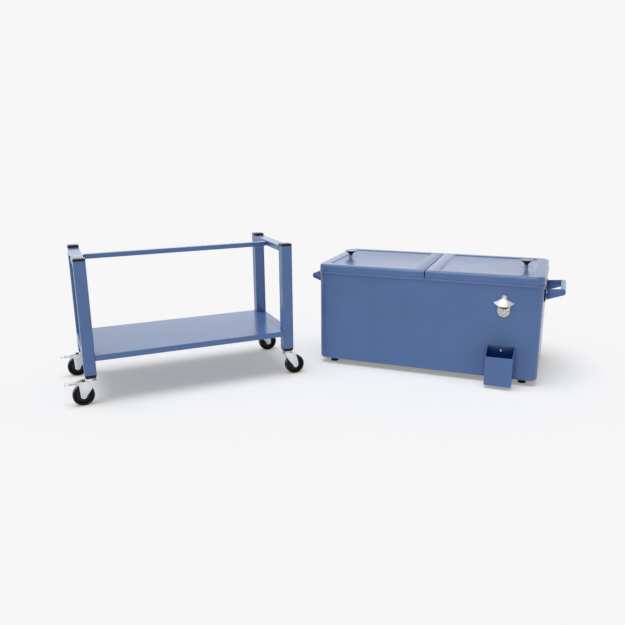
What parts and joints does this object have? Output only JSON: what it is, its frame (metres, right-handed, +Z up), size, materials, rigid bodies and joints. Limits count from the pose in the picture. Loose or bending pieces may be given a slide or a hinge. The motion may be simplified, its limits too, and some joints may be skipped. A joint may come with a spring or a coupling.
{
  "type": "wheeled patio cooler",
  "caption": "Insulated steel box cooler with two lids hinged in the middle, lifted off and standing beside its wheeled cart with a low shelf.",
  "frame": {"origin": "on the floor, in the middle of the whole group's outline seen from above", "axes": "+X along the cooler box towards its opener end, +Y from the box's front to its back, +Z up; the cart stands at the left, turned 44.4 degrees"},
  "size_m": [1.7172, 1.1258, 0.487],
  "materials": {
    "blue_paint": "satin",
    "black_plastic": "matte",
    "collar_steel": "satin",
    "zinc_steel": "satin",
    "wheel_rubber": "matte",
    "dark_bolts": "satin",
    "bright_screws": "satin",
    "handle_steel": "satin",
    "opener_steel": "satin",
    "knob_chrome": "polished",
    "seal_rubber": "matte",
    "foam": "matte",
    "white_plastic": "satin",
    "drain_plastic": "matte"
  },
  "bodies": {
    "cart": {"leg_front_left": "blue_paint", "leg_front_right": "blue_paint", "leg_back_left": "blue_paint", "leg_back_right": "blue_paint", "leg_socket_front_left": "black_plastic", "leg_socket_front_right": "black_plastic", "leg_socket_back_left": "black_plastic", "leg_socket_back_right": "black_plastic", "leg_caps": "black_plastic", "top_rail_left": "blue_paint", "top_rail_right": "blue_paint", "bottom_rail_left": "blue_paint", "bottom_rail_right": "blue_paint", "centre_rail": "blue_paint", "rail_spacers": "black_plastic", "shelf": "blue_paint", "cart_bolts": "dark_bolts", "caster_stem_front_left": "zinc_steel", "caster_stem_front_right": "zinc_steel", "caster_stem_back_left": "zinc_steel", "caster_stem_back_right": "zinc_steel"},
    "fork_front_left": {"caster_fork_front_left": "zinc_steel", "caster_axle_front_left": "zinc_steel"},
    "wheel_front_left": {"caster_wheel_front_left": "wheel_rubber"},
    "fork_front_right": {"caster_fork_front_right": "zinc_steel", "caster_axle_front_right": "zinc_steel"},
    "wheel_front_right": {"caster_wheel_front_right": "wheel_rubber"},
    "fork_back_left": {"caster_fork_back_left": "zinc_steel", "caster_axle_back_left": "zinc_steel"},
    "wheel_back_left": {"caster_wheel_back_left": "wheel_rubber"},
    "fork_back_right": {"caster_fork_back_right": "zinc_steel", "caster_axle_back_right": "zinc_steel"},
    "wheel_back_right": {"caster_wheel_back_right": "wheel_rubber"},
    "pedal_front_left": {"brake_pedal_front_left": "zinc_steel"},
    "pedal_back_left": {"brake_pedal_back_left": "zinc_steel"},
    "box": {"outer_shell": "blue_paint", "insulation": "foam", "liner": "white_plastic", "rim_collar": "collar_steel", "box_feet": "black_plastic", "handle_left": "handle_steel", "handle_right": "handle_steel", "handle_pads": "black_plastic", "handle_screws": "bright_screws", "bottle_opener": "opener_steel", "cap_catcher": "blue_paint", "front_screws": "bright_screws", "centre_bar": "white_plastic", "hinge_pins": "bright_screws", "drain_spout": "drain_plastic"},
    "drain_plug": {"drain_plug": "drain_plastic"},
    "lid_left": {"lid_skin_left": "blue_paint", "lid_liner_left": "white_plastic", "lid_gasket_left": "seal_rubber", "lid_knob_left": "knob_chrome"},
    "lid_right": {"lid_skin_right": "blue_paint", "lid_liner_right": "white_plastic", "lid_gasket_right": "seal_rubber", "lid_knob_right": "knob_chrome"}
  },
  "joints": [
    {"name": "box_lift", "type": "slide", "parent": "cart", "child": "box", "axis": [0, 0, 1], "range_m": [0, 0.5]},
    {"name": "lid_left_hinge", "type": "hinge", "parent": "box", "child": "lid_left", "pos_m": [0.38114, 0.34885, 0.3836], "axis": [0, 1, 0], "range_deg": [0, 85]},
    {"name": "lid_right_hinge", "type": "hinge", "parent": "box", "child": "lid_right", "pos_m": [0.39414, 0.34885, 0.3836], "axis": [0, -1, 0], "range_deg": [0, 85]},
    {"name": "swivel_front_left", "type": "hinge", "parent": "cart", "child": "fork_front_left", "pos_m": [-0.57222, -0.49163, 0.084], "axis": [0, 0, 1], "continuous": true},
    {"name": "wheel_front_left_spin", "type": "hinge", "parent": "fork_front_left", "child": "wheel_front_left", "pos_m": [-0.59151, -0.51053, 0.035], "axis": [0.6997, -0.7145, 0], "continuous": true},
    {"name": "swivel_front_right", "type": "hinge", "parent": "cart", "child": "fork_front_right", "pos_m": [-0.07923, -0.00887, 0.084], "axis": [0, 0, 1], "continuous": true},
    {"name": "wheel_front_right_spin", "type": "hinge", "parent": "fork_front_right", "child": "wheel_front_right", "pos_m": [-0.05994, 0.01002, 0.035], "axis": [-0.6997, 0.7145, 0], "continuous": true},
    {"name": "swivel_back_left", "type": "hinge", "parent": "cart", "child": "fork_back_left", "pos_m": [-0.78632, -0.27301, 0.084], "axis": [0, 0, 1], "continuous": true},
    {"name": "wheel_back_left_spin", "type": "hinge", "parent": "fork_back_left", "child": "wheel_back_left", "pos_m": [-0.80561, -0.2919, 0.035], "axis": [0.6997, -0.7145, 0], "continuous": true},
    {"name": "swivel_back_right", "type": "hinge", "parent": "cart", "child": "fork_back_right", "pos_m": [-0.29333, 0.20976, 0.084], "axis": [0, 0, 1], "continuous": true},
    {"name": "wheel_back_right_spin", "type": "hinge", "parent": "fork_back_right", "child": "wheel_back_right", "pos_m": [-0.27404, 0.22865, 0.035], "axis": [-0.6997, 0.7145, 0], "continuous": true},
    {"name": "brake_front_left", "type": "hinge", "parent": "fork_front_left", "child": "pedal_front_left", "pos_m": [-0.59651, -0.51542, 0.078], "axis": [0.6997, -0.7145, 0], "range_deg": [0, 11.5]},
    {"name": "brake_back_left", "type": "hinge", "parent": "fork_back_left", "child": "pedal_back_left", "pos_m": [-0.81061, -0.29679, 0.078], "axis": [0.6997, -0.7145, 0], "range_deg": [0, 11.5]},
    {"name": "drain_plug_pull", "type": "slide", "parent": "box", "child": "drain_plug", "axis": [0, 1, 0], "range_m": [0, 0.04]}
  ]
}
